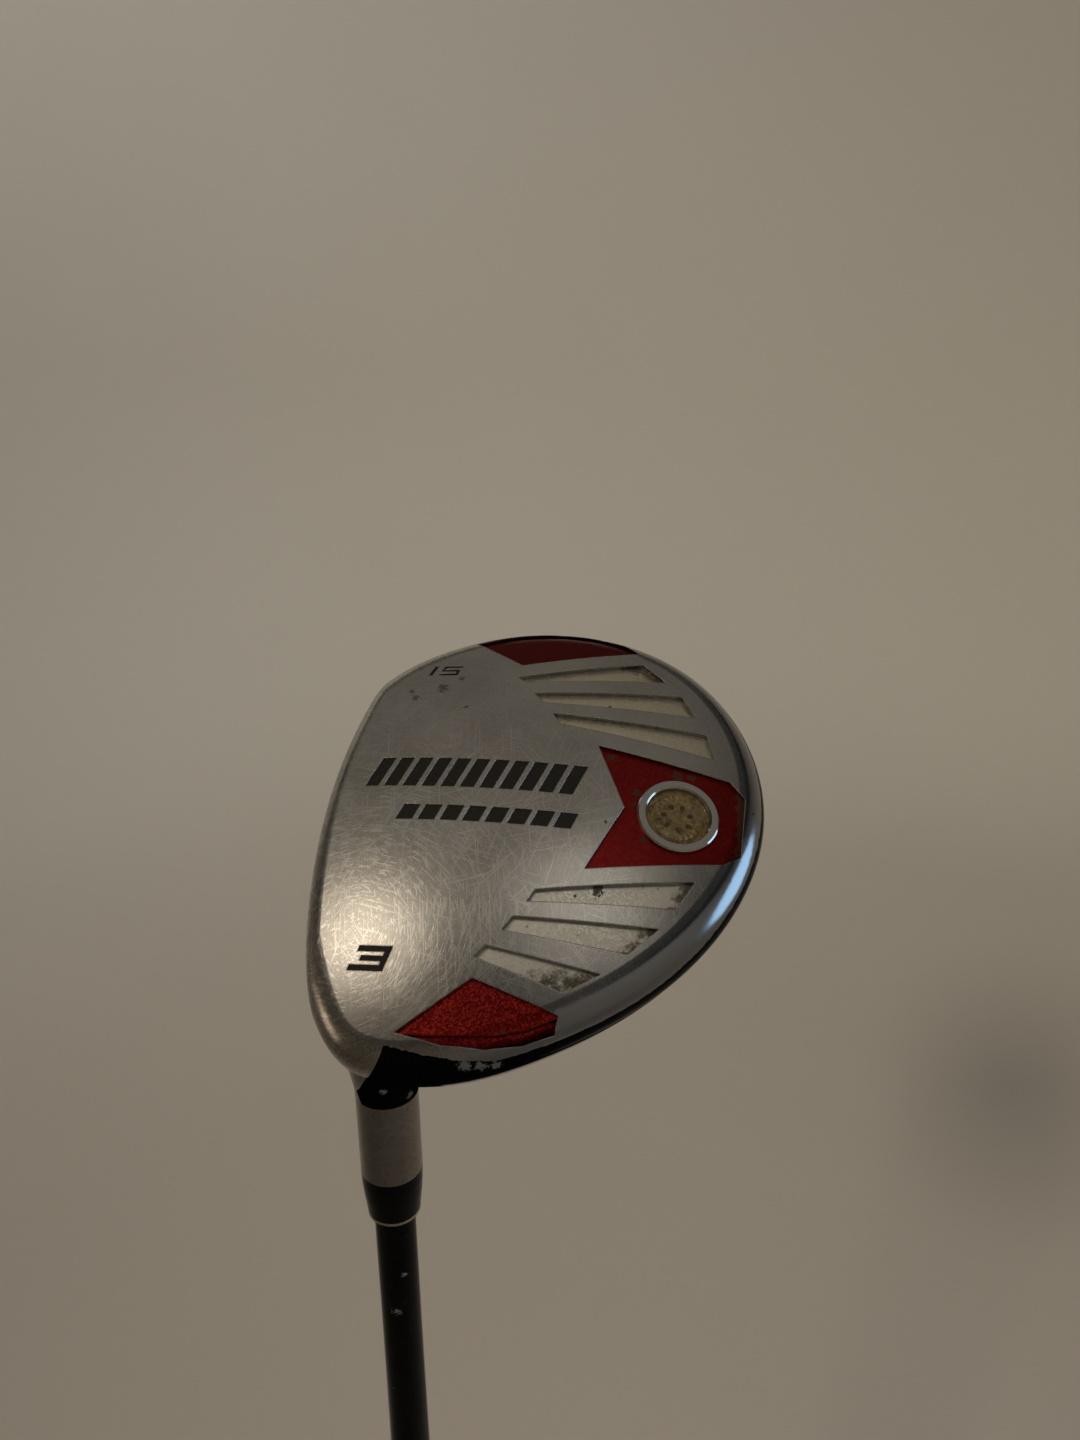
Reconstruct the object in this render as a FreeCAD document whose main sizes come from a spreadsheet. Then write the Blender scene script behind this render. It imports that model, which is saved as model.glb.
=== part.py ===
import FreeCAD
import Part
import Sketcher
import math
import os

# Fairway wood golf club, left-handed, 15 degree loft.
# Club frame: +Z runs up the shaft axis from the butt of the grip (origin) to the head,
# the face looks toward -X, the sole looks up and toward -Y, the toe is on the +Y side.
# Head frame, used for everything in the head: x from face to back, y from heel to toe,
# z out through the sole, with z = 0 at the lowest point of the sole.

V = FreeCAD.Vector
doc = FreeCAD.newDocument("fairway_wood")

# ---------------------------------------------------------------- sizes
SIZES = [
    ("club_length", 1092.2, "butt to ground plane along the shaft axis"),
    ("lie_angle", 57.5, "degrees between shaft axis and ground"),
    ("loft_angle", 15.0, "degrees, face tilt"),
    ("axis_back", 20.2, "shaft axis at the ground plane, behind the leading edge"),
    ("axis_toe", -37.8, "shaft axis at the ground plane, toe direction"),
    ("head_height", 38.0, "highest crown point above the ground"),
    ("sole_wall", 1.25, "sole thickness"),
    ("side_wall", 0.9, "skirt thickness"),
    ("crown_wall", 0.6, "crown thickness"),
    ("face_wall", 2.2, "face thickness"),
    ("sole_round", 7.5, "radius from sole to skirt"),
    ("crown_round", 9.0, "radius from skirt to crown"),
    ("edge_round", 4.5, "radius around the face"),
    ("widest_depth", 12.0, "depth below the sole where the plan outline is widest"),
    ("face_bulge", 230.0, "face bulge and roll radius"),
    ("skirt_taper", 18.0, "degrees, how much the skirt leans in toward the crown"),
    ("joint_depth", 15.0, "crown joint below the sole"),
    ("hosel_od", 12.55, "hosel outside diameter"),
    ("bore_od", 8.8, "hosel bore"),
    ("bore_floor", 15.0, "bore floor above the ground, along the axis"),
    ("band_start", 30.1, "bare steel band starts, along the axis"),
    ("hosel_top", 48.9, "hosel top, along the axis"),
    ("shaft_tip", 18.0, "shaft tip, along the axis"),
    ("shaft_tip_od", 8.5, "shaft tip diameter"),
    ("shaft_tip_id", 3.6, "shaft tip inside diameter"),
    ("shaft_butt_od", 15.24, "shaft butt diameter"),
    ("shaft_butt_id", 13.2, "shaft butt inside diameter"),
    ("ferrule_length", 10.2, "ferrule length"),
    ("ferrule_mouth_od", 10.9, "ferrule diameter at the shaft end"),
    ("trim_length", 0.9, "trim ring length"),
    ("grip_length", 268.0, "grip length"),
    ("grip_butt_od", 27.0, "grip diameter at the butt"),
    ("grip_mouth_od", 17.4, "grip diameter at the mouth"),
    ("cap_length", 4.5, "grip cap thickness"),
    ("cap_od", 28.0, "grip cap diameter"),
    ("vent_d", 4.0, "vent hole in the grip cap"),
    ("tape_wall", 0.2, "grip tape thickness"),
    ("port_back", 75.0, "port centre behind the leading edge"),
    ("port_ring_od", 17.1, "port ring outside diameter"),
    ("port_ring_id", 13.3, "port ring inside diameter"),
    ("port_depth", 6.0, "port depth"),
]
sheet = doc.addObject("Spreadsheet::Sheet", "sizes")
for row, (alias, value, note) in enumerate(SIZES, start=1):
    sheet.set("A%d" % row, alias)
    sheet.set("B%d" % row, str(value))
    sheet.set("C%d" % row, note)
    sheet.setAlias("B%d" % row, alias)
doc.recompute()


def size(alias):
    return float(sheet.get(alias))


# ---------------------------------------------------------------- frames
lie = math.radians(size("lie_angle"))
loft = math.radians(size("loft_angle"))
AXIS_FOOT = V(size("axis_back"), size("axis_toe"), 0)
AXIS_DIR = V(0, -math.cos(lie), -math.sin(lie))
HEAD_TURN = FreeCAD.Rotation(V(1, 0, 0), 90 - size("lie_angle"))
HEAD_PLACE = FreeCAD.Placement(
    V(0, 0, size("club_length")) - HEAD_TURN.multVec(AXIS_FOOT), HEAD_TURN)

SOLE_LOW_X = 35.0       # lowest point of the sole, behind the leading edge
SOLE_CURVE_X = 0.00245  # sole rise per square millimetre, face to back
SOLE_CURVE_Y = 0.00275  # and heel to toe
CROWN_TOP = V(24, -2, 0)
CROWN_CURVE_X = 0.0033
CROWN_CURVE_Y = 0.0040
MIDDLE = V(44, -2, 0)   # middle of the head, offsets shrink toward it

# Plan outline of the head seen along z, from the face round the toe to the heel.
OUTLINE = [
    (-6, -6), (-3.6, 15.2), (3, 34), (20, 48.8), (46, 55.8), (71.4, 49.4), (89.2, 29.4),
    (93.9, 3.4), (87, -18.2), (71.2, -37.2), (50, -50.3), (29.6, -56.9), (13.6, -55.2), (0.8, -35.8),
]


def sole_z(x, y):
    return -SOLE_CURVE_X * (x - SOLE_LOW_X) ** 2 - SOLE_CURVE_Y * y * y


# ---------------------------------------------------------------- shape helpers
def outline_curve(inset):
    points = []
    for x, y in OUTLINE:
        ray = V(x, y, 0) - MIDDLE
        points.append(MIDDLE + ray * (1 - inset / ray.Length))
    curve = Part.BSplineCurve()
    curve.interpolate(points, PeriodicFlag=True)
    return curve


def dome(centre, top, curve_x, curve_y, thickness):
    """Solid under (or over) the surface z = top - curve_x dx^2 - curve_y dy^2."""
    reach = 90.0
    patch = Part.BezierSurface()
    patch.increase(2, 2)
    for i, u in enumerate((-1, 0, 1)):
        for j, v in enumerate((-1, 0, 1)):
            drop_x = curve_x * reach * reach * (1 if u else -1)
            drop_y = curve_y * reach * reach * (1 if v else -1)
            pole = V(centre.x + u * reach, centre.y + v * reach, top - drop_x - drop_y)
            patch.setPole(i + 1, j + 1, pole)
    return patch.toShape().extrude(V(0, 0, thickness))


def long_edge(shape, lowest):
    rims = [edge for edge in shape.Edges if edge.Length > 150]
    if lowest:
        return min(rims, key=lambda edge: edge.BoundBox.ZMin)
    return max(rims, key=lambda edge: edge.BoundBox.ZMax)


def head_solid(side, sole, crown):
    """Whole head pulled in by three wall thicknesses; zeros give the outside."""
    lean = math.tan(math.radians(size("skirt_taper")))
    rims = []
    for z in (-60, 10):
        rim = Part.Wire(outline_curve(side - lean * (z + size("widest_depth"))).toShape())
        rims.append(rim.translated(V(0, 0, z)))
    slab = Part.makeLoft(rims, True, True)
    below_sole = dome(V(SOLE_LOW_X, 0, 0), -sole, SOLE_CURVE_X, SOLE_CURVE_Y, -120)
    above_crown = dome(CROWN_TOP, crown - size("head_height"),
                       -CROWN_CURVE_X, -CROWN_CURVE_Y, 120)
    body = slab.common([below_sole]).common([above_crown]).Solids[0]
    body = body.makeFillet(max(size("sole_round") - side, 2), [long_edge(body, False)])
    return body.makeFillet(max(size("crown_round") - side, 2), [long_edge(body, True)])


def face_ball(depth):
    """Ball whose front is the face surface, moved back by depth."""
    radius = size("face_bulge")
    edge_point = V(-1.3, -5, -3)
    centre = edge_point + V(math.cos(loft), 0, math.sin(loft)) * radius
    return Part.makeSphere(radius - depth, centre)


def prism(points, low, high):
    corners = [V(x, y, low) for x, y in points]
    face = Part.Face(Part.makePolygon(corners + corners[:1]))
    return face.extrude(V(0, 0, high - low))


def axis_section(along, half_back, half_toe, shift_back, shift_toe):
    """Oval section across the shaft axis, used for the neck."""
    side = V(0, math.sin(lie), -math.cos(lie))
    centre = AXIS_FOOT + AXIS_DIR * along + V(shift_back, 0, 0) + side * shift_toe
    points = []
    for step in range(8):
        angle = step * math.pi / 4
        points.append(centre + V(half_back * math.cos(angle), 0, 0)
                      + side * (half_toe * math.sin(angle)))
    curve = Part.BSplineCurve()
    curve.interpolate(points, PeriodicFlag=True)
    return Part.Wire(curve.toShape())


def axis_cylinder(diameter, start, end):
    return Part.makeCylinder(diameter / 2, end - start, AXIS_FOOT + AXIS_DIR * start, AXIS_DIR)


def head_part(label, shape):
    """Add a finished head-frame shape as a named part in the club frame."""
    part = doc.addObject("Part::Feature", label)
    part.Label = label
    part.Shape = shape
    part.Placement = HEAD_PLACE
    return part


# ---------------------------------------------------------------- head solids
outer = head_solid(0, 0, 0).common(face_ball(0)).Solids[0]
face_surface = [f for f in outer.Faces if f.Surface.TypeId == "Part::GeomSphere"][0]
outer = outer.makeFillet(size("edge_round"), face_surface.OuterWire.Edges)
hosel_r = size("hosel_od") / 2
neck = Part.makeLoft([
    axis_section(33, 5.2, 5.2, 0, 0),
    axis_section(29, 6.35, 6.3, 0, 0.1),
    axis_section(25, 7.4, 7.1, 0.1, 0.5),
    axis_section(21, 9.6, 8.6, 0.5, 1.9),
    axis_section(16.5, 12.5, 11, 1.6, 4.8),
    axis_section(13, 14.5, 12.5, 3, 7.6),
], True, False)
hosel_tube = axis_cylinder(size("hosel_od"), 20, size("hosel_top"))
outside = outer.fuse([neck, hosel_tube])

inside = head_solid(size("side_wall"), size("sole_wall"), size("crown_wall"))
inside = inside.common(face_ball(size("face_wall") + 0.8))

# Depths below the sole surface used by the recesses and their fillings.
MARK = 0.3
REAR = 1.2
RAY = 1.5
INSET = 1.2
LEDGE = 2.2
COAT = 0.35
shrunk = {}


def shrink(depth):
    if depth not in shrunk:
        shrunk[depth] = head_solid(depth, depth, 0)
    return shrunk[depth]


def prisms(areas):
    return Part.makeCompound([prism(area, -13, 6) for area in areas])


def recess(areas, depth):
    """Everything above the given depth, inside the areas: the tool that cuts a recess."""
    return prisms(areas).cut(shrink(depth))


def filling(areas, top, bottom):
    """Layer inside the areas between two depths below the sole surface."""
    layer = prisms(areas).common(shrink(top)).cut(shrink(bottom))
    return Part.makeCompound([solid for solid in layer.Solids if solid.Volume > 0.05])


REAR_AREA = [
    (57.3, 15.1), (63.9, 0), (57.0, -15.1), (84.4, -9.8), (87.8, -7), (88.6, 6.8), (85.4, 10.4),
]
TOE_RAYS = [
    [(48.5, 20.4), (46.6, 23.3), (80.1, 22.5), (82.1, 15.8)],
    [(44.2, 26.5), (41.6, 29.4), (74.4, 33.3), (78.0, 27.2)],
    [(39.1, 32.8), (37.2, 34.5), (65.2, 42.7), (70.8, 37.4)],
]
HEEL_RAYS = [
    [(47.9, -20.5), (46.5, -23.1), (75.2, -21.0), (78.8, -14.7)],
    [(44.2, -26.3), (42.3, -29.2), (66.7, -31.2), (72.3, -25.5)],
    [(39.5, -32.4), (37.6, -34.7), (55.3, -39.8), (61.9, -35.6)],
]

TOE_AREA = [
    (25, 47), (37.6, 38.7), (64, 46.8), (60, 50.4), (53, 52.8), (45, 53.4), (35, 51.4),
]
HEEL_AREA = [
    (24.3, -49.4), (37.8, -38.7), (54.6, -43.8), (54, -46.6), (48.2, -49.2),
    (41.6, -50.8), (33.4, -51),
]
HEEL_FLOOR = [
    (24.3, -49.4), (37.8, -38.7), (54.6, -43.8), (49, -46.5), (43, -48.2), (36, -48.9), (30, -49.3),
]


def slanted_bars(x, y, width, height, gap, count):
    """Row of plain leaning bars, a neutral decoration."""
    lean = height * 0.35
    bars = []
    for index in range(count):
        left = x + index * (width + gap)
        bars.append([(left, y), (left + width, y),
                     (left + width + lean, y + height), (left + lean, y + height)])
    return bars


def stroke(x, y, x0, y0, x1, y1):
    """One straight stroke of a leaning block numeral placed at x, y."""
    corners = [(x0, y0), (x1, y0), (x1, y1), (x0, y1)]
    return [(x + across + 0.3 * height, y + height) for across, height in corners]


def numeral_three(x, y):
    return [stroke(x, y, 0, 0, 7.2, 1.1), stroke(x, y, 1.6, 1.9, 6, 2.9),
            stroke(x, y, 0.4, 3.7, 7.2, 4.8), stroke(x, y, 6, 1.1, 7.2, 3.7)]


def numeral_fifteen(x, y):
    return [stroke(x, y, 0, 0, 0.9, 3.3), stroke(x, y, 2.4, 0, 6.8, 0.6),
            stroke(x, y, 6.1, 0.6, 6.8, 1.4), stroke(x, y, 2.4, 1.4, 6.8, 2.0),
            stroke(x, y, 2.4, 2.0, 3.1, 2.7), stroke(x, y, 2.4, 2.7, 6.8, 3.3)]


FACE_OUTLINE = [
    (-30, -10.5), (-21, -9), (23, -8.8), (30, -10.5), (31.5, -15),
    (29.5, -23.5), (21, -27.5), (-6, -30), (-25, -28), (-33, -23),
]
MARKS = slanted_bars(8.6, 1.6, 3.0, 7.4, 1.15, 11) + slanted_bars(17, -6.6, 3.6, 3.6, 1.1, 8)
MARKS += numeral_three(13, -38.6) + numeral_fifteen(16, 34.6)

# The wall is thicker under the recesses.
THICK_UNDER = [
    [(34, 35), (47, 17.5), (84, 13), (84, 27), (67, 45), (60, 45)],
    [(34, -35), (46, -17.5), (82, -12), (76, -28), (60, -41), (54, -42)],
    [(54, 18), (60, 0), (54, -18), (86, -13), (99, -9), (99, 9), (86, 13)],
    [(23, 62), (23, 45), (37.6, 36.5), (66, 44), (66, 62)],
]
THICKER_UNDER = [[(21, -64), (22, -48), (37.8, -36.5), (57, -42), (57, -64)]]

# The port is a small frame of its own, square to the sole at the port centre.
port_x = size("port_back")
port_tilt = math.degrees(math.atan(2 * SOLE_CURVE_X * (port_x - SOLE_LOW_X)))
PORT_LOCAL = FreeCAD.Placement(V(port_x, 0, sole_z(port_x, 0)),
                               FreeCAD.Rotation(V(0, 1, 0), port_tilt))
PORT_PLACE = HEAD_PLACE.multiply(PORT_LOCAL)


def port_cylinder(diameter, low, high):
    cylinder = Part.makeCylinder(diameter / 2, high - low, V(0, 0, low))
    cylinder.transformShape(PORT_LOCAL.toMatrix())
    return cylinder


# ---------------------------------------------------------------- cast body, crown, face
pads = [prism(area, -14, 6).cut(shrink(2.4)) for area in THICK_UNDER]
pads += [prism(area, -14, 6).cut(shrink(3.2)) for area in THICKER_UNDER]
cavity = inside.cut(pads + [
    axis_cylinder(size("hosel_od"), 6, size("hosel_top")),
    port_cylinder(size("port_ring_od") + 3, -size("port_depth") - 1.5, 4),
])
cavity = max(cavity.Solids, key=lambda solid: solid.Volume)
wall = outside.cut(cavity)

crown_zone = Part.makeBox(140, 160, 60, V(-20, -80, -60 - size("joint_depth")))
crown_zone = crown_zone.common(face_ball(9)).cut(axis_cylinder(24, 5, 60))
crown = max(wall.common(crown_zone).Solids, key=lambda solid: solid.Volume)
body = wall.cut(crown)


def face_outline(margin):
    corners = []
    for y, z in FACE_OUTLINE:
        ray = V(0, y + 1, z + 19)
        corners.append(V(-20, -1, -19) + ray * (1 - margin / ray.Length))
    curve = Part.BSplineCurve()
    curve.interpolate(corners, PeriodicFlag=True)
    return Part.Face(Part.Wire(curve.toShape())).extrude(V(60, 0, 0))


score_lines = []
for index in range(7):
    half = 24 - abs(index - 3) * 0.8
    for start in (-half, 6):
        line = Part.makeBox(60, half - 6, 0.7, V(-30, start, -27.5 + index * 2.6))
        score_lines.append(line.cut(face_ball(0.4)))
face_plate = face_outline(0).common(face_ball(0)).cut([face_ball(size("face_wall"))] + score_lines)
face_plate = max(face_plate.Solids, key=lambda solid: solid.Volume)

body = body.cut([
    face_outline(0).cut(face_ball(size("face_wall"))),
    face_outline(3),
    axis_cylinder(size("bore_od"), size("bore_floor"), 60),
    port_cylinder(size("port_ring_od"), -size("port_depth"), 5),
    recess(MARKS, MARK),
    recess(TOE_RAYS + HEEL_RAYS, RAY),
    recess([REAR_AREA], REAR),
    recess([TOE_AREA, HEEL_AREA], INSET),
    recess([HEEL_AREA], LEDGE).cut(prisms([HEEL_FLOOR])),
])
body = max(body.Solids, key=lambda solid: solid.Volume)
head_part("cast_body", body)
head_part("crown_shell", crown)
head_part("face_insert", face_plate)

# ---------------------------------------------------------------- paint and enamel fillings
head_part("mark_paint", filling(MARKS, 0.2, MARK))
head_part("toe_ray_enamel", filling(TOE_RAYS, RAY - COAT, RAY))
head_part("heel_ray_enamel", filling(HEEL_RAYS, RAY - COAT, RAY))
rear = filling([REAR_AREA], REAR - COAT, REAR)
rear = rear.cut(port_cylinder(size("port_ring_od"), -size("port_depth"), 5))
head_part("rear_enamel", rear)
head_part("toe_enamel", filling([TOE_AREA], INSET - COAT, INSET))
plateau = filling([HEEL_FLOOR], INSET - COAT, INSET)
ledge = prisms([HEEL_AREA]).cut(prisms([HEEL_FLOOR]))
ledge = ledge.common(shrink(LEDGE - COAT)).cut(shrink(LEDGE))
ledge = max(ledge.Solids, key=lambda solid: solid.Volume)
head_part("heel_enamel", Part.makeCompound(plateau.Solids + [ledge]))

# ---------------------------------------------------------------- inside the head
glue = Part.makeSphere(6, V(50, 12, -5)).common(cavity)
head_part("rattle_glue", max(glue.Solids, key=lambda solid: solid.Volume))

# ---------------------------------------------------------------- turned parts
def origin_item(body, role):
    return [item for item in body.Origin.OriginFeatures if item.Role == role][0]


def turned(label, profile, place=None):
    """PartDesign body turned about its own Z from a closed profile of
    (radius, height) expressions over the size sheet."""
    body = doc.addObject("PartDesign::Body", label)
    body.Label = label
    sketch = body.newObject("Sketcher::SketchObject", label + "_profile")
    sketch.AttachmentSupport = [(origin_item(body, "XZ_Plane"), "")]
    sketch.MapMode = "FlatFace"
    count = len(profile)
    guess = [V(rough(radius), rough(height), 0) for radius, height in profile]
    for index in range(count):
        sketch.addGeometry(Part.LineSegment(guess[index], guess[(index + 1) % count]), False)
    for index in range(count):
        after = (index + 1) % count
        sketch.addConstraint(Sketcher.Constraint("Coincident", index, 2, after, 1))
    for index, (radius, height) in enumerate(profile):
        if radius == "0":
            sketch.addConstraint(Sketcher.Constraint("PointOnObject", index, 1, -2))
        else:
            bind(sketch, "DistanceX", index, "r%d" % index, guess[index].x, radius)
        bind(sketch, "DistanceY", index, "h%d" % index, guess[index].y, height)
    turn = body.newObject("PartDesign::Revolution", label + "_turn")
    turn.Profile = sketch
    turn.ReferenceAxis = (sketch, ["V_Axis"])
    turn.Angle = 360
    body.Tip = turn
    if place is not None:
        body.Placement = place
    doc.recompute()
    return body


def bind(sketch, kind, index, name, value, expression):
    number = sketch.addConstraint(Sketcher.Constraint(kind, -1, 1, index, 1, value))
    sketch.renameConstraint(number, name)
    sketch.setExpression("Constraints." + name, expression)


def rough(expression):
    """Starting value for a sketch point; the bound expression then sets it exactly."""
    total = 0.0
    sign = 1.0
    for word in expression.replace("sizes.", "").split():
        if word in "+-":
            sign = 1.0 if word == "+" else -1.0
            continue
        value = 1.0
        for place, factor in enumerate(word.split("/")):
            number = size(factor) if factor[0].isalpha() else float(factor)
            value = number if place == 0 else value / number
        total += sign * value
        sign = 1.0
    return total


def up(offset):
    """Height in the club frame of a point measured along the axis from the ground."""
    return "sizes.club_length - " + offset


TIP = up("sizes.shaft_tip")
HOSEL = up("sizes.hosel_top")
MOUTH = HOSEL + " - sizes.ferrule_length"

turned("shaft", [
    ("sizes.shaft_tip_id/2", TIP),
    ("sizes.shaft_tip_od/2", TIP),
    ("sizes.shaft_tip_od/2", TIP + " - 75"),
    ("7.3", "330"),
    ("sizes.shaft_butt_od/2", "150"),
    ("sizes.shaft_butt_od/2", "sizes.cap_length"),
    ("sizes.shaft_butt_id/2", "sizes.cap_length"),
    ("sizes.shaft_butt_id/2", "150"),
    ("6.3", "330"),
    ("2.4", TIP + " - 75"),
    ("sizes.shaft_tip_id/2", TIP + " - 30"),
])
turned("bore_stopper", [
    ("0", up("sizes.bore_floor")), ("sizes.bore_od/2", up("sizes.bore_floor")),
    ("sizes.bore_od/2", TIP + " + 1.5"), ("0", TIP + " + 1.5"),
])
turned("tip_weight", [
    ("0", TIP + " + 1.5"), ("4.1", TIP + " + 1.5"), ("4.1", TIP),
    ("sizes.shaft_tip_id/2", TIP), ("sizes.shaft_tip_id/2", TIP + " - 18"), ("0", TIP + " - 18"),
])
turned("hosel_epoxy", [
    ("sizes.shaft_tip_od/2", TIP), ("sizes.bore_od/2", TIP),
    ("sizes.bore_od/2", HOSEL), ("sizes.shaft_tip_od/2", HOSEL),
])
turned("ferrule", [
    ("sizes.shaft_tip_od/2", HOSEL), ("sizes.hosel_od/2", HOSEL),
    ("6.2", HOSEL + " - 2.6"), ("5.98", HOSEL + " - 5.4"), ("5.68", HOSEL + " - 8"),
    ("sizes.ferrule_mouth_od/2", MOUTH), ("sizes.shaft_tip_od/2", MOUTH),
])
turned("trim_ring", [
    ("sizes.shaft_tip_od/2", MOUTH), ("sizes.ferrule_mouth_od/2", MOUTH),
    ("sizes.ferrule_mouth_od/2", MOUTH + " - 0.6"), ("5.1", MOUTH + " - sizes.trim_length"),
    ("sizes.shaft_tip_od/2", MOUTH + " - sizes.trim_length"),
])
turned("grip_tape", [
    ("sizes.shaft_butt_od/2", "sizes.cap_length"),
    ("sizes.shaft_butt_od/2 + sizes.tape_wall", "sizes.cap_length"),
    ("sizes.shaft_butt_od/2 + sizes.tape_wall", "150"),
    ("7.421 + sizes.tape_wall", "262"), ("7.421", "262"),
    ("sizes.shaft_butt_od/2", "150"),
])
turned("grip_sleeve", [
    ("sizes.shaft_butt_od/2 + sizes.tape_wall", "sizes.cap_length"),
    ("sizes.grip_butt_od/2", "sizes.cap_length"), ("13.3", "20"),
    ("sizes.grip_mouth_od/2 + 0.3", "sizes.grip_length - 8"),
    ("sizes.grip_mouth_od/2", "sizes.grip_length - 2"),
    ("8.1", "sizes.grip_length"), ("7.61", "sizes.grip_length"),
    ("7.421 + sizes.tape_wall", "262"), ("sizes.shaft_butt_od/2 + sizes.tape_wall", "150"),
])
turned("grip_cap", [
    ("sizes.vent_d/2", "0"), ("11.8", "0"), ("13.2", "0.8"), ("sizes.cap_od/2", "2.4"),
    ("sizes.cap_od/2", "sizes.cap_length"), ("sizes.vent_d/2", "sizes.cap_length"),
])

# The port: a polished ring, a weight under it, a badge and a thin layer of clear resin.
turned("port_ring", [
    ("sizes.port_ring_id/2", "0 - sizes.port_depth"),
    ("sizes.port_ring_od/2", "0 - sizes.port_depth"),
    ("sizes.port_ring_od/2", "0 - 0.3"), ("sizes.port_ring_od/2 - 0.3", "0"),
    ("sizes.port_ring_id/2 + 0.3", "0"), ("sizes.port_ring_id/2", "0 - 0.3"),
], PORT_PLACE)
turned("port_weight", [
    ("0", "0 - sizes.port_depth"), ("sizes.port_ring_id/2", "0 - sizes.port_depth"),
    ("sizes.port_ring_id/2", "0 - 2.4"), ("0", "0 - 2.4"),
], PORT_PLACE)
badge = turned("port_badge", [
    ("0", "0 - 2.4"), ("sizes.port_ring_id/2", "0 - 2.4"), ("sizes.port_ring_id/2", "0 - 1.3"),
    ("5.9", "0 - 1.3"), ("5.7", "0 - 1.7"), ("4.6", "0 - 1.7"), ("4.4", "0 - 1.4"),
    ("1.0", "0 - 1.4"), ("0.8", "0 - 1.2"), ("0", "0 - 1.2"),
], PORT_PLACE)
pin = badge.newObject("Sketcher::SketchObject", "pin_hole")
pin.AttachmentSupport = [(origin_item(badge, "XY_Plane"), "")]
pin.MapMode = "FlatFace"
pin.AttachmentOffset = FreeCAD.Placement(V(0, 0, -1.4), FreeCAD.Rotation())
pin.addGeometry(Part.Circle(V(2.8, 0, 0), V(0, 0, 1), 0.42), False)
pin.addConstraint(Sketcher.Constraint("PointOnObject", 0, 3, -1))
pin.addConstraint(Sketcher.Constraint("DistanceX", -1, 1, 0, 3, 2.8))
pin.addConstraint(Sketcher.Constraint("Radius", 0, 0.42))
pocket = badge.newObject("PartDesign::Pocket", "pin_pocket")
pocket.Profile = pin
pocket.Length = 0.6
badge.Tip = pocket
doc.recompute()
around = badge.newObject("PartDesign::PolarPattern", "pin_circle")
around.Originals = [pocket]
around.Axis = (origin_item(badge, "Z_Axis"), [""])
around.Angle = 360
around.Occurrences = 7
badge.Tip = around
doc.recompute()
turned("port_resin", [
    ("0", "0 - 1.2"), ("0.8", "0 - 1.2"), ("1.0", "0 - 1.4"), ("4.4", "0 - 1.4"),
    ("4.6", "0 - 1.7"), ("5.7", "0 - 1.7"), ("5.9", "0 - 1.3"), ("sizes.port_ring_id/2", "0 - 1.3"),
    ("sizes.port_ring_id/2", "0 - 0.7"), ("5.2", "0 - 0.95"), ("0", "0 - 1.0"),
], PORT_PLACE)

# ---------------------------------------------------------------- checks and files
doc.recompute()
parts = [item for item in doc.Objects
         if item.TypeId in ("Part::Feature", "PartDesign::Body")]
for item in doc.Objects:
    if "Invalid" in item.State or "Error" in item.State:
        raise RuntimeError("bad object: " + item.Label)
os.makedirs("parts", exist_ok=True)
for item in parts:
    shape = item.Shape
    if shape.isNull() or not shape.isValid() or not shape.Solids:
        raise RuntimeError("bad shape: " + item.Label)
    shape.exportStep("parts/" + item.Label + ".step")
    print(item.Label, len(shape.Solids), round(shape.Volume, 1))
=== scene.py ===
import math

import bpy
from mathutils import Matrix, Vector


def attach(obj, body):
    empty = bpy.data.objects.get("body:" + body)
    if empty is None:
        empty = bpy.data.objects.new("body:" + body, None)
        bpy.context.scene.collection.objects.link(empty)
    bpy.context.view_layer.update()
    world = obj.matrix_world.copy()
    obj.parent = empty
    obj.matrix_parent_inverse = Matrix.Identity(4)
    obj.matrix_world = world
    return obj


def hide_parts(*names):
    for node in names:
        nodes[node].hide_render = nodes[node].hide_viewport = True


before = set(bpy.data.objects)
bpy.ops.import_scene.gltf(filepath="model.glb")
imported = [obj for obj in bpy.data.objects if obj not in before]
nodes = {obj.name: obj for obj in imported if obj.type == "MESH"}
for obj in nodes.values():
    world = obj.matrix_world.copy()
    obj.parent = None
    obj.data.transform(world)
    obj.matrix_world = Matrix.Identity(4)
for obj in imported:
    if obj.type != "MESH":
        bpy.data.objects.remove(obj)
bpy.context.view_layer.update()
scene = bpy.context.scene
MM = 0.001

# ------------------------------------------------------------ frames
# Head frame: x from face to back, y from heel to toe, z out through the sole, with
# its zero at the lowest point of the sole. The club frame has the shaft axis as z.
CLUB_LENGTH = 1092.2 * MM
LIE = math.radians(57.5)
AXIS_FOOT = Vector((20.2, -37.8, 0)) * MM
TO_HEAD = Matrix.Rotation(LIE - math.pi / 2, 4, "X")
TO_HEAD.translation = AXIS_FOOT - TO_HEAD.to_3x3() @ Vector((0, 0, CLUB_LENGTH))
TO_CLUB = TO_HEAD.inverted()
FACE_CENTRE = Vector((220.9, -5, 56.5)) * MM
FACE_RADIUS = 230 * MM
BAND_START = 30.1 * MM
HOSEL_REACH = 7.3 * MM

# The sole is a shallow dish: it falls away by these factors times the distance squared.
SOLE_MIDDLE_X = 35 * MM
SOLE_CURVE_X = 2.45
SOLE_CURVE_Y = 2.75

# The port lies square to the dish. Its pin holes stand on a circle, in millimetres.
PORT = Vector((75, 0, -3.92)) * MM
PORT_TILT = math.atan(2 * SOLE_CURVE_X * (PORT.x - SOLE_MIDDLE_X))
PORT_FRAME = TO_CLUB @ Matrix.Translation(PORT) @ Matrix.Rotation(PORT_TILT, 4, "Y")
PORT_PINS = 7
PIN_CIRCLE = 2.8
PIN_START = 0.3

# The painted glints on the sole are arcs of scratches round the main highlight; they have these centres, in
# head-frame millimetres.
GLINT_CENTRE = (9, -28)
WIDE_GLINT_CENTRE = (14, -34)

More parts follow.
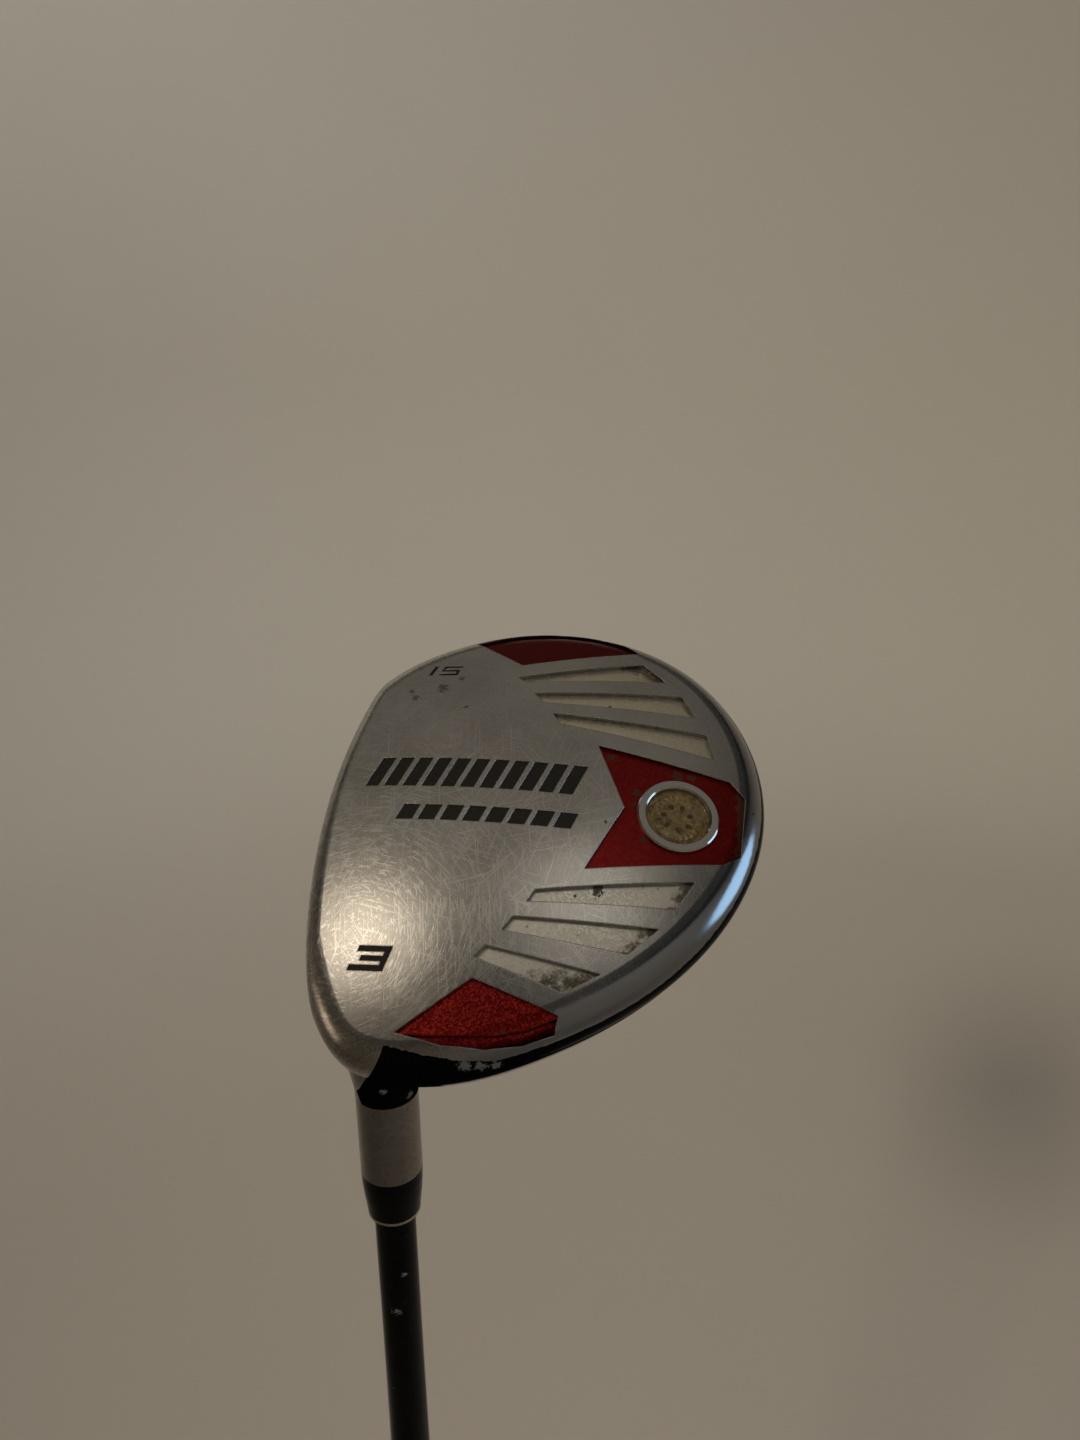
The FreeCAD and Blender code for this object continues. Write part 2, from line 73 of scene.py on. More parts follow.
# The straight scratches are thickest at the first point. In the rays, dirt lies beyond a
# distance from the second.
MOST_SCRATCHED = Vector((28, -22, -3)) * MM
RAYS_MIDDLE = Vector((44, -2, -6)) * MM

# The black paint begins at PAINT_TOP and its edge falls with the square of the distance
# from PAINT_FALL_X, down to PAINT_LOWEST. A bare tongue at the heel has a slanted side.
PAINT_TOP = -7.8 * MM
PAINT_LOWEST = -10.7 * MM
PAINT_FALL_X = 22 * MM
PAINT_FALL = 6.2
TONGUE_X = 22.6 * MM
TONGUE_SLANT = 0.54

# Places of wear and dirt, each as (x, y, z, reach) in head-frame millimetres.
SMUDGES = ((20.5, 30.2, -3, 2.6), (14.5, 27, -3, 1.8), (13.2, 29.2, -3.3, 1.5), (24.3, 33.4, -3.6, 1.6),
           (27, 24, -2, 1.2))
PAINT_CHIPS = ((25.8, -55.7, -22.6, 1.6), (24, -54.5, -25.5, 1.4), (28, -56.5, -20.6, 1.0))
PAINT_SCUFFS = ((38, -53.4, -10.3, 2.4), (40.8, -53.2, -11.0, 2.2), (43.6, -52.5, -11.8, 2.2),
                (21.5, -57, -18.2, 1.3), (26, -55, -14, 1.0))
HEEL_DIRT = ((44.7, -47.7, -7.6, 1.2),)
TOE_DIRT = ((53, 52.5, -9.5, 2.5),)
REAR_DIRT = ((74.5, 10.2, -5.2, 2.6), (77.5, 10.4, -5.6, 2.0), (60.3, 12.9, -3, 2.0), (66.2, 4.5, -3.5, 1.6),
             (65.6, 1.5, -3.5, 1.3), (68.2, -6.8, -3.5, 1.4))
TOE_RAY_DIRT = ((50, 19.8, -3, 3),)
HEEL_RAY_DIRT = ((60, -19, -3.5, 2.5),)
# The same for the shaft, but in club-frame millimetres.
SHAFT_SCUFFS = ((-4.3, -3.0, 1026, 1.6), (2.6, -3.9, 1018, 1.5), (0.4, -5.0, 1008, 2.2), (-2, -4.5, 985, 1.2))


def club_point(x, y, z):
    """A point given in head-frame millimetres, in the club frame."""
    return TO_CLUB @ (Vector((x, y, z)) * MM)


def pin_place(pin):
    """Where a pin hole of the badge is in the port's own plane, in millimetres."""
    turn = math.tau * pin / PORT_PINS + PIN_START
    return PIN_CIRCLE * math.cos(turn), PIN_CIRCLE * math.sin(turn)


# ------------------------------------------------------------ node helpers
class Nodes:
    """Short calls for building one material's node tree."""

    def __init__(self, name):
        self.material = bpy.data.materials.new(name)
        self.material.use_nodes = True
        self.tree = self.material.node_tree
        self.shader = self.tree.nodes["Principled BSDF"]
        self.coordinates = self.add("ShaderNodeTexCoord").outputs["Object"]

    def add(self, kind, **values):
        node = self.tree.nodes.new(kind)
        for key, value in values.items():
            setattr(node, key, value)
        return node

    def link(self, source, target):
        if isinstance(source, (int, float)):
            target.default_value = source
        elif isinstance(source, (tuple, list)):
            target.default_value = tuple(source) + (1.0,) * (4 - len(source))
        else:
            self.tree.links.new(source, target)

    def math(self, operation, first, second=0.0, third=None, clamp=False):
        node = self.add("ShaderNodeMath", operation=operation, use_clamp=clamp)
        self.link(first, node.inputs[0])
        self.link(second, node.inputs[1])
        if third is not None:
            self.link(third, node.inputs[2])
        return node.outputs[0]

    def ramp(self, value, low, high, start=0.0, end=1.0):
        node = self.add("ShaderNodeMapRange", interpolation_type="SMOOTHSTEP")
        for index, item in enumerate((value, low, high, start, end)):
            self.link(item, node.inputs[index])
        return node.outputs[0]

    def mix(self, factor, first, second):
        node = self.add("ShaderNodeMix", data_type="RGBA")
        self.link(factor, node.inputs["Factor"])
        self.link(first, node.inputs["A"])
        self.link(second, node.inputs["B"])
        return node.outputs["Result"]

    def mapped(self, vector, scale=(1, 1, 1), turn=(0, 0, 0), shift=(0, 0, 0)):
        node = self.add("ShaderNodeMapping")
        self.link(vector, node.inputs["Vector"])
        node.inputs["Location"].default_value = shift
        node.inputs["Rotation"].default_value = turn
        node.inputs["Scale"].default_value = scale
        return node.outputs[0]

    def head(self):
        """Object coordinates turned into the head frame, in metres."""
        return self.mapped(self.coordinates, turn=TO_HEAD.to_euler(), shift=TO_HEAD.translation)

    def split(self, vector):
        node = self.add("ShaderNodeSeparateXYZ")
        self.link(vector, node.inputs[0])
        return node.outputs

    def noise(self, vector, scale, detail=2.0, roughness=0.5, distortion=0.0):
        node = self.add("ShaderNodeTexNoise")
        self.link(vector, node.inputs["Vector"])
        node.inputs["Scale"].default_value = scale
        node.inputs["Detail"].default_value = detail
        node.inputs["Roughness"].default_value = roughness
        node.inputs["Distortion"].default_value = distortion
        return node.outputs["Fac"]

    def cells(self, vector, scale, feature="F1"):
        node = self.add("ShaderNodeTexVoronoi", feature=feature)
        self.link(vector, node.inputs["Vector"])
        node.inputs["Scale"].default_value = scale
        return node.outputs

    def spots(self, vector, places):
        """1 at the middle of each (x, y, z, reach) place in millimetres, fading to 0."""
        total = 0.0
        for x, y, z, reach in places:
            away = self.distance(vector, Vector((x, y, z)) * MM)
            total = self.math("MAXIMUM", total, self.ramp(away, 0.0, reach * MM, 1.0, 0.0))
        return total

    def broken(self, spots, vector, scale):
        """Spots with ragged edges and gaps, as real wear and dirt have."""
        grit = self.math("SUBTRACT", self.noise(vector, scale, 4.0, 0.7), 0.5)
        value = self.math("MULTIPLY_ADD", grit, 2.8, spots)
        return self.math("MULTIPLY", self.ramp(value, 0.5, 0.65), self.ramp(spots, 0.0, 0.2))

    def length(self, first, second):
        """The length of a flat vector, given its two parts."""
        squares = self.math("ADD", self.math("MULTIPLY", first, first), self.math("MULTIPLY", second, second))
        return self.math("SQRT", squares)

    def inverse(self, value):
        return self.math("SUBTRACT", 1.0, value)

    def distance(self, vector, centre):
        node = self.add("ShaderNodeVectorMath", operation="DISTANCE")
        self.link(vector, node.inputs[0])
        node.inputs[1].default_value = centre
        return node.outputs["Value"]

    def bump(self, height, strength, distance, normal=None):
        node = self.add("ShaderNodeBump")
        node.inputs["Strength"].default_value = strength
        node.inputs["Distance"].default_value = distance
        self.link(height, node.inputs["Height"])
        if normal is not None:
            self.link(normal, node.inputs["Normal"])
        return node.outputs[0]

    def soft_edges(self, radius):
        """A normal that rounds sharp edges over the given radius."""
        node = self.add("ShaderNodeBevel", samples=4)
        node.inputs["Radius"].default_value = radius
        return node.outputs[0]

    def set(self, **values):
        for key, value in values.items():
            self.link(value, self.shader.inputs[key.replace("_", " ").title().replace("Ior", "IOR")])


# ------------------------------------------------------------ materials
def scratch_glint_arcs(n, head, centre, seed):
    """Painted glints: short fine scratch arcs round the highlight's centre, where scratches would catch the
    light; 1 on a scratch, 0 elsewhere.
    """
    x, y = n.split(head)[0:2]
    dx = n.math("SUBTRACT", x, centre[0] * MM)
    dy = n.math("SUBTRACT", y, centre[1] * MM)
    radius = n.length(dx, dy)
    angle = n.math("ARCTAN2", dy, dx)
    place = n.add("ShaderNodeCombineXYZ")
    n.link(n.math("MULTIPLY", radius, 2600.0), place.inputs[0])
    n.link(n.math("MULTIPLY", angle, 4.0), place.inputs[1])
    place.inputs[2].default_value = seed
    lines = n.noise(place.outputs[0], 1.0, 1.0)
    return n.ramp(lines, 0.60, 0.67), radius


def straight_scratches(n, head, directions):
    """Long thin scratches, one family for each direction in degrees."""
    total = 0.0
    for index, degrees in enumerate(directions):
        turned = n.mapped(head, turn=(0, 0, math.radians(degrees)), shift=(0.03 * index, 0.05, 0))
        lines = n.noise(n.mapped(turned, scale=(70, 3300, 1)), 1.0, 0.0)
        total = n.math("MAXIMUM", total, n.ramp(lines, 0.69, 0.76))
    return total


def sole_scratches_and_glints(n, head):
    """Painted glints as scratch arcs round the highlight near the face and the heel, and straight scratches
    over the middle.
    """
    arcs, radius = scratch_glint_arcs(n, head, GLINT_CENTRE, 1.0)
    wide_arcs = scratch_glint_arcs(n, head, WIDE_GLINT_CENTRE, 7.0)[0]
    near = n.ramp(radius, 8 * MM, 52 * MM, 1.0, 0.12)
    arcs = n.math("MULTIPLY", n.math("MAXIMUM", arcs, wide_arcs), near)
    straight = straight_scratches(n, head, (12, 48, 80, 104, 131, 163))
    worn = n.ramp(n.distance(head, MOST_SCRATCHED), 14 * MM, 62 * MM, 0.75, 0.2)
    return n.math("MAXIMUM", arcs, n.math("MULTIPLY", straight, worn))


def polished_rim(n, x, y, z):
    """1 where the surface has left the shallow dish of the sole, towards the rear."""
    across = n.math("SUBTRACT", x, SOLE_MIDDLE_X)
    dish = n.math("ADD", n.math("MULTIPLY", n.math("MULTIPLY", across, across), -SOLE_CURVE_X),
                  n.math("MULTIPLY", n.math("MULTIPLY", y, y), -SOLE_CURVE_Y))
    depth = n.math("SUBTRACT", dish, z)
    rim = n.ramp(depth, 0.10 * MM, 0.24 * MM)
    return n.math("MULTIPLY", rim, n.ramp(x, 30 * MM, 46 * MM))


def hosel_band(n):
    """1 on the bare band of the hosel, next to the shaft axis."""
    club_x, club_y, club_z = n.split(n.coordinates)[0:3]
    band = n.math("LESS_THAN", club_z, CLUB_LENGTH - BAND_START)
    return n.math("MULTIPLY", band, n.math("LESS_THAN", n.length(club_x, club_y), HOSEL_REACH))


def stains(n, head):
    """Dark specks and brown smudges from use."""
    specks = n.ramp(n.cells(head, 95)["Distance"], 0.028, 0.045, 1.0, 0.0)
    specks = n.math("MULTIPLY", specks, n.ramp(n.noise(head, 60, 0.0), 0.55, 0.62))
    smudge = n.broken(n.spots(head, SMUDGES), n.mapped(head, scale=(1, 2.2, 1)), 800)
    return n.math("MAXIMUM", n.math("MULTIPLY", smudge, 0.6), n.math("MULTIPLY", specks, 0.8))


def painted_area(n, head, band):
    """Below the joint line, except on the face, the heel tongue and the band.

    Returns the painted area and the whole area below the line."""
    x, y, z = n.split(head)[0:3]
    fine = n.noise(head, 900, 3.0, 0.6)
    from_start = n.math("SUBTRACT", x, PAINT_FALL_X)
    falling = n.math("MULTIPLY", n.math("MULTIPLY", from_start, from_start), PAINT_FALL)
    edge = n.math("MAXIMUM", n.math("SUBTRACT", PAINT_TOP, falling), PAINT_LOWEST)
    ragged = n.math("MULTIPLY", n.math("SUBTRACT", fine, 0.5), 0.8 * MM)
    below = n.math("LESS_THAN", n.math("ADD", z, ragged), edge)
    off_face = n.math("LESS_THAN", n.distance(head, FACE_CENTRE), FACE_RADIUS - 4.5 * MM)
    tongue = n.math("ADD", TONGUE_X, n.math("MULTIPLY", n.math("ADD", z, -PAINT_TOP), TONGUE_SLANT))
    right = n.math("GREATER_THAN", x, n.math("ADD", tongue, n.math("MULTIPLY", ragged, 0.6)))
    right = n.math("MAXIMUM", right, n.math("GREATER_THAN", y, -40 * MM))
    off_band = n.math("MULTIPLY", right, n.inverse(band))
    return n.math("MULTIPLY", n.math("MULTIPLY", below, off_face), off_band), below


def steel_body():
    """The casting: satin sole with painted glints of scratches, polished rim, bare hosel band and black paint
    in one material; the rim and the heel side have painted shade.
    """
    n = Nodes("satin_steel_and_paint")
    head = n.head()
    x, y, z = n.split(head)[0:3]
    grain = n.noise(n.mapped(head, scale=(1, 0.06, 1)), 2600, 3.0, 0.6)
    cloud = n.noise(head, 45, 4.0, 0.6)
    marks = sole_scratches_and_glints(n, head)
    rim = polished_rim(n, x, y, z)
    band = hosel_band(n)
    pits = n.math("MULTIPLY", n.ramp(n.noise(n.coordinates, 1500, 2.0), 0.60, 0.66), band)

    steel = n.mix(n.ramp(cloud, 0.3, 0.7), (0.46, 0.435, 0.395), (0.55, 0.525, 0.485))
    # The scratches and the painted glint arcs lighten the steel towards white.
    steel = n.mix(n.math("MULTIPLY", marks, 0.60), steel, (1.0, 0.97, 0.9))
    # Painted shade: the steel turns darker and browner towards the heel edge, where it reflects the dark
    # front.
    heel_painted_shade = n.ramp(y, -52 * MM, -34 * MM, 0.5, 0.0)
    steel = n.mix(heel_painted_shade, steel, (0.20, 0.17, 0.145))
    # Painted shade: the polished rim gets a darker, slightly cool steel colour for the dark reflections along
    # it.
    steel = n.mix(rim, steel, (0.34, 0.35, 0.37))
    steel = n.mix(n.math("MULTIPLY", pits, 0.55), steel, (0.16, 0.13, 0.10))
    steel = n.mix(n.math("MULTIPLY", band, 0.35), steel, (0.26, 0.245, 0.225))
    steel = n.mix(stains(n, head), steel, (0.07, 0.05, 0.035))

    rough = n.math("ADD", n.math("MULTIPLY", grain, 0.08), n.math("MULTIPLY", cloud, 0.12))
    rough = n.math("ADD", rough, 0.175)
    rough = n.math("ADD", n.math("MULTIPLY", rough, n.inverse(rim)), n.math("MULTIPLY", rim, 0.17))
    rough = n.math("SUBTRACT", rough, n.math("MULTIPLY", band, 0.09))

    paint, below = painted_area(n, head, band)
    chips = n.broken(n.spots(head, PAINT_CHIPS), head, 1500)
    scuffs = n.broken(n.spots(head, PAINT_SCUFFS), head, 1700)
    paint = n.math("MULTIPLY", paint, n.inverse(chips))
    black = n.mix(scuffs, (0.006, 0.006, 0.006), (0.30, 0.31, 0.30))
    paint_rough = n.ramp(scuffs, 0.0, 1.0, 0.13, 0.75)
    base = n.mix(paint, steel, black)
    base = n.mix(n.math("MULTIPLY", chips, below), base, (0.17, 0.12, 0.08))

    # The paint has no shine towards the heel and a little at the rear.
    dull = n.math("MULTIPLY", paint, n.ramp(x, 50 * MM, 72 * MM, 0.5, 0.42))
    relief = n.math("ADD", n.math("MULTIPLY", grain, 0.25), n.math("MULTIPLY", marks, -0.9))
    relief = n.math("MULTIPLY", relief, n.inverse(n.math("MAXIMUM", rim, paint)))
    relief = n.math("SUBTRACT", relief, n.math("ADD", pits, chips))
    n.set(base_color=base, metallic=n.inverse(paint), ior=1.2,
          specular_ior_level=n.math("SUBTRACT", 0.5, dull),
          roughness=n.math("ADD", n.math("MULTIPLY", rough, n.inverse(paint)),
                           n.math("MULTIPLY", paint_rough, paint)),
          normal=n.bump(relief, 0.35, 0.012 * MM, n.soft_edges(0.35 * MM)))
    return n.material


def gloss_black(name, worn, places=()):
    """Black lacquer with faint dust, hairline scratches and optional worn pale spots."""
    n = Nodes(name)
    dust = n.noise(n.coordinates, 700, 4.0, 0.7)
    hairs = n.noise(n.mapped(n.coordinates, scale=(1, 1, 0.06)), 1800, 2.0)
    dusty = n.math("MULTIPLY", n.ramp(dust, 0.55, 0.85), 0.10 * worn)
    base = n.mix(dusty, (0.004, 0.004, 0.004), (0.3, 0.29, 0.27))
    rough = n.math("ADD", n.math("MULTIPLY", hairs, 0.08), 0.07)
    if places:
        spots = n.broken(n.spots(n.coordinates, places), n.coordinates, 1600)
        base = n.mix(spots, base, (0.34, 0.34, 0.36))
        rough = n.math("ADD", rough, n.math("MULTIPLY", spots, 0.5))
    n.set(base_color=base, roughness=rough, ior=1.2)
    return n.material


def crown_paint():
    """Gloss black with fine flakes; the shine fades out towards the joint with the body."""
    n = Nodes("crown_paint")
    flakes = n.split(n.cells(n.coordinates, 5000)["Color"])[0]
    wear = n.ramp(n.noise(n.coordinates, 240, 5.0, 0.7), 0.60, 0.75)
    base = n.mix(n.math("MULTIPLY", flakes, 0.25), (0.005, 0.005, 0.006), (0.03, 0.03, 0.032))
    n.set(base_color=n.mix(n.math("MULTIPLY", wear, 0.06), base, (0.4, 0.4, 0.4)),
          roughness=n.math("ADD", 0.10, n.math("MULTIPLY", wear, 0.12)),
          specular_ior_level=n.ramp(n.split(n.head())[2], -30 * MM, -20 * MM, 0.4, 0.0))
    return n.material


def face_steel():
    """Brushed steel with paler patches of wear."""
    n = Nodes("face_steel")
    lines = n.noise(n.mapped(n.coordinates, scale=(1, 0.05, 0.05)), 1800, 3.0, 0.6)
    wear = n.ramp(n.noise(n.coordinates, 70, 3.0), 0.5, 0.7)
    n.set(base_color=n.mix(wear, (0.36, 0.35, 0.33), (0.50, 0.49, 0.46)), metallic=1.0,
          roughness=n.ramp(lines, 0.2, 0.8, 0.30, 0.46),
          normal=n.bump(lines, 0.3, 0.01 * MM))
    return n.material


def mark_fill():
    """Dark gritty paint in the engraved marks."""
    n = Nodes("mark_fill")
    grit = n.noise(n.coordinates, 1400, 4.0, 0.7)
    n.set(base_color=n.mix(n.ramp(grit, 0.35, 0.7), (0.010, 0.008, 0.006), (0.045, 0.033, 0.02)),
          roughness=n.ramp(grit, 0.2, 0.8, 0.4, 0.7))
    return n.material


def grime(n, head, places, amount):
    """Brown dirt gathered near the given places, broken up by noise."""
    return n.math("MULTIPLY", n.broken(n.spots(head, places), head, 900), amount)


def red_enamel(name, dark, light, sparkle, places, dirty_edge=200.0):
    """Red with metallic flakes; dirt gathers beyond the dirty edge, measured from the face."""
    n = Nodes(name)
    head = n.head()
    flakes = n.split(n.cells(head, 3200)["Color"])
    glint = n.math("MULTIPLY", n.ramp(flakes[0], 0.35, 1.0), sparkle)
    cloud = n.noise(head, 90, 3.0)
    base = n.mix(n.ramp(cloud, 0.3, 0.7, 0.0, 0.35), n.mix(glint, dark, light), dark)
    dirt = grime(n, head, places, 0.85)
    outer = n.ramp(n.split(head)[0], dirty_edge * MM, (dirty_edge + 2.5) * MM)
    dirt = n.math("MAXIMUM", dirt, n.math("MULTIPLY", n.broken(outer, head, 700), 0.75))
    n.set(base_color=n.mix(dirt, base, (0.11, 0.05, 0.02)),
          metallic=n.math("MULTIPLY", n.inverse(dirt), 0.75),
          roughness=n.math("ADD", n.ramp(flakes[1], 0, 1, 0.28, 0.42), n.math("MULTIPLY", dirt, 0.3)),
          normal=n.bump(glint, 0.25, 0.02 * MM))
    return n.material


def silver_enamel(name, dark, light, inner, places):
    """Pale gold floor of the rays; dirt gathers beyond the inner distance from the middle."""
    n = Nodes(name)
    head = n.head()
    glint = n.split(n.cells(head, 2600)["Color"])[0]
    outward = n.distance(head, RAYS_MIDDLE)
    far = n.ramp(outward, inner * MM, (inner + 7) * MM)
    crumbs = n.noise(head, 520, 5.0, 0.75)
    dirt = n.ramp(n.math("MULTIPLY", n.math("ADD", far, 0.10), crumbs), 0.36, 0.62, 0.0, 0.85)
    dirt = n.math("MAXIMUM", dirt, grime(n, head, places, 0.9))
    pits = n.ramp(n.cells(head, 420)["Distance"], 0.10, 0.2, 1.0, 0.0)
    pits = n.math("MULTIPLY", pits, n.ramp(n.noise(head, 300, 0.0), 0.60, 0.66))
    dirt = n.math("MAXIMUM", dirt, n.math("MULTIPLY", pits, n.ramp(crumbs, 0.4, 0.6)))
    n.set(base_color=n.mix(dirt, n.mix(glint, dark, light), (0.10, 0.07, 0.035)),
          metallic=n.math("MULTIPLY", n.inverse(dirt), 0.95),
          roughness=n.math("ADD", n.ramp(glint, 0, 1, 0.34, 0.5), n.math("MULTIPLY", dirt, 0.3)),
          normal=n.bump(n.math("ADD", glint, crumbs), 0.35, 0.03 * MM))
    return n.material


def polished(name, color, rough):
    """Bright metal with smears and small nicks."""
    n = Nodes(name)
    smear = n.noise(n.coordinates, 260, 4.0, 0.6)
    nicks = n.ramp(n.noise(n.coordinates, 2600, 2.0), 0.66, 0.72)
    n.set(base_color=n.mix(n.math("MULTIPLY", nicks, 0.4), color, (0.14, 0.12, 0.1)), metallic=1.0,
          roughness=n.ramp(smear, 0.3, 0.7, rough * 0.8, rough * 1.5),
          normal=n.bump(nicks, 0.2, 0.01 * MM))
    return n.material


def badge_metal():
    """Tarnished brass tones, with painted shade as a dark spot over each pin hole."""
    n = Nodes("badge_metal")
    pins = []
    for pin in range(PORT_PINS):
        place = PORT_FRAME @ (Vector((*pin_place(pin), -1.8)) * MM)
        pins.append(tuple(place / MM) + (1.1,))
    # Painted shade: the spots over the pin holes stand for the shadow inside them.
    holes = n.ramp(n.spots(n.coordinates, pins), 0.25, 0.6)
    crumbs = n.noise(n.coordinates, 900, 5.0, 0.75)
    low = n.noise(n.coordinates, 260, 3.0)
    base = n.mix(n.ramp(crumbs, 0.35, 0.7), (0.80, 0.60, 0.30), (0.24, 0.15, 0.06))
    base = n.mix(n.ramp(low, 0.5, 0.7, 0.0, 0.6), base, (0.42, 0.40, 0.34))
    n.set(base_color=n.mix(holes, base, (0.02, 0.013, 0.008)), metallic=0.55,
          roughness=n.ramp(crumbs, 0.2, 0.8, 0.3, 0.6), normal=n.bump(crumbs, 0.4, 0.04 * MM))
    return n.material


def clear_resin():
    """Yellowed clear resin: mostly see-through, with brown dirt on it in patches."""
    n = Nodes("clear_resin")
    patches = n.ramp(n.noise(n.coordinates, 420, 5.0, 0.7), 0.52, 0.66)
    n.set(base_color=n.mix(patches, (0.52, 0.38, 0.15), (0.16, 0.10, 0.04)),
          alpha=n.ramp(patches, 0, 1, 0.16, 0.6), roughness=n.ramp(patches, 0, 1, 0.06, 0.4),
          normal=n.bump(patches, 0.3, 0.05 * MM))
    return n.material


def grip_rubber():
    """Black rubber with rows of small slanted grooves and a fine sandy surface."""
    n = Nodes("grip_rubber")
    columns = 16.0
    row_pitch = 8.5 * MM
    x, y, z = n.split(n.coordinates)[0:3]
    angle = n.math("MULTIPLY", n.math("ARCTAN2", y, x), 1.0 / math.tau)
    around = n.math("MULTIPLY", angle, columns)
    along = n.math("MULTIPLY", z, 1.0 / row_pitch)
    row = n.math("FRACT", n.math("ADD", along, n.math("MULTIPLY", around, 0.5)))
    column = n.math("FRACT", around)
    groove = n.ramp(n.math("ABSOLUTE", n.math("SUBTRACT", row, 0.5)), 0.05, 0.12, 1.0, 0.0)
    inside = n.ramp(n.math("ABSOLUTE", n.math("SUBTRACT", column, 0.5)), 0.28, 0.34, 1.0, 0.0)
    groove = n.math("MULTIPLY", groove, inside)
    sand = n.noise(n.coordinates, 2400, 3.0, 0.7)
    wear = n.ramp(n.noise(n.coordinates, 30, 4.0), 0.5, 0.7)
    base = n.mix(n.math("MULTIPLY", wear, 0.5), (0.014, 0.014, 0.015), (0.035, 0.034, 0.033))
    n.set(base_color=base, specular_ior_level=0.35,
          roughness=n.math("SUBTRACT", 0.85, n.math("MULTIPLY", wear, 0.22)),
          normal=n.bump(n.math("SUBTRACT", n.math("MULTIPLY", sand, 0.25), groove), 0.8, 0.5 * MM))
    return n.material


def plain(name, first, second, metallic, rough, scale):
    """Two close tones broken up by noise, for the parts that are mostly hidden."""
    n = Nodes(name)
    mottle = n.noise(n.coordinates, scale, 4.0, 0.65)
    n.set(base_color=n.mix(n.ramp(mottle, 0.3, 0.7), first, second), metallic=metallic,
          roughness=n.ramp(mottle, 0.2, 0.8, rough * 0.85, rough * 1.15),
          normal=n.bump(mottle, 0.15, 0.05 * MM))
    return n.material


def give(material, name):
    """Puts one material over the whole of a CAD node."""
    mesh = nodes[name].data
    mesh.materials.clear()
    mesh.materials.append(material)
    for polygon in mesh.polygons:
        polygon.material_index = 0


give(steel_body(), "cast_body")
give(crown_paint(), "crown_shell")
give(face_steel(), "face_insert")
give(mark_fill(), "mark_paint")
give(red_enamel("red_enamel_heel", (0.26, 0.005, 0.004), (0.95, 0.06, 0.04), 0.85, HEEL_DIRT), "heel_enamel")
give(red_enamel("red_enamel_rear", (0.24, 0.006, 0.005), (0.50, 0.03, 0.022), 0.5, REAR_DIRT, 85.6),
     "rear_enamel")
# Painted shade: the toe's red is a darker copy of the same enamel, for where the toe bends away from the
# light.
give(red_enamel("red_enamel_toe_painted_shade", (0.14, 0.001, 0.001), (0.24, 0.004, 0.002), 0.3, TOE_DIRT), "toe_enamel")
give(silver_enamel("ray_enamel_toe", (0.84, 0.74, 0.54), (1.0, 0.90, 0.70), 41.0, TOE_RAY_DIRT),
     "toe_ray_enamel")
give(silver_enamel("ray_enamel_heel", (0.86, 0.80, 0.66), (1.0, 0.96, 0.84), 30.0, HEEL_RAY_DIRT),
     "heel_ray_enamel")
give(polished("polished_ring", (0.60, 0.58, 0.54), 0.13), "port_ring")
give(polished("trim_metal", (0.62, 0.55, 0.42), 0.2), "trim_ring")
give(gloss_black("ferrule_black", 0.4), "ferrule")
give(gloss_black("shaft_black", 1.0, SHAFT_SCUFFS), "shaft")
give(grip_rubber(), "grip_sleeve")
give(plain("cap_rubber", (0.012, 0.012, 0.012), (0.022, 0.021, 0.02), 0.0, 0.7, 1500), "grip_cap")
give(plain("paper_tape", (0.5, 0.46, 0.36), (0.62, 0.58, 0.48), 0.0, 0.85, 900), "grip_tape")
give(badge_metal(), "port_badge")
give(clear_resin(), "port_resin")
give(plain("weight_steel", (0.3, 0.3, 0.3), (0.42, 0.41, 0.4), 1.0, 0.4, 600), "port_weight")
give(plain("brass", (0.6, 0.42, 0.16), (0.7, 0.52, 0.24), 1.0, 0.35, 500), "tip_weight")
give(plain("epoxy", (0.35, 0.30, 0.2), (0.5, 0.45, 0.32), 0.0, 0.35, 700), "hosel_epoxy")
give(plain("stopper_foam", (0.5, 0.5, 0.48), (0.68, 0.67, 0.63), 0.0, 0.9, 1200), "bore_stopper")
give(plain("hot_melt", (0.52, 0.40, 0.2), (0.68, 0.56, 0.34), 0.0, 0.3, 200), "rattle_glue")


# ------------------------------------------------------------ port badge relief
def badge_height(radius, angle):
    """Height of the badge face against the ring's top, in millimetres, by place on the disc."""
    field, border, groove, hub, hole = -1.4, -1.3, -1.68, -1.22, -2.1
    teeth, tooth_rise = 26, 0.30
    height = field
    if radius > 5.9:
        height = border
    elif radius > 5.45:
        height = groove
    elif radius < 1.0:
        height = hub - 0.08 * radius
    for pin in range(PORT_PINS):
        pin_x, pin_y = pin_place(pin)
        away = math.hypot(radius * math.cos(angle) - pin_x, radius * math.sin(angle) - pin_y)
        if away < 0.48:
            height = hole
    if 4.0 < radius < 5.3:
        tooth = (angle * teeth / math.tau) % 1.0
        lean = abs(tooth - 0.5) * 2
        height = max(height, field + tooth_rise * (1 - lean))
    return height


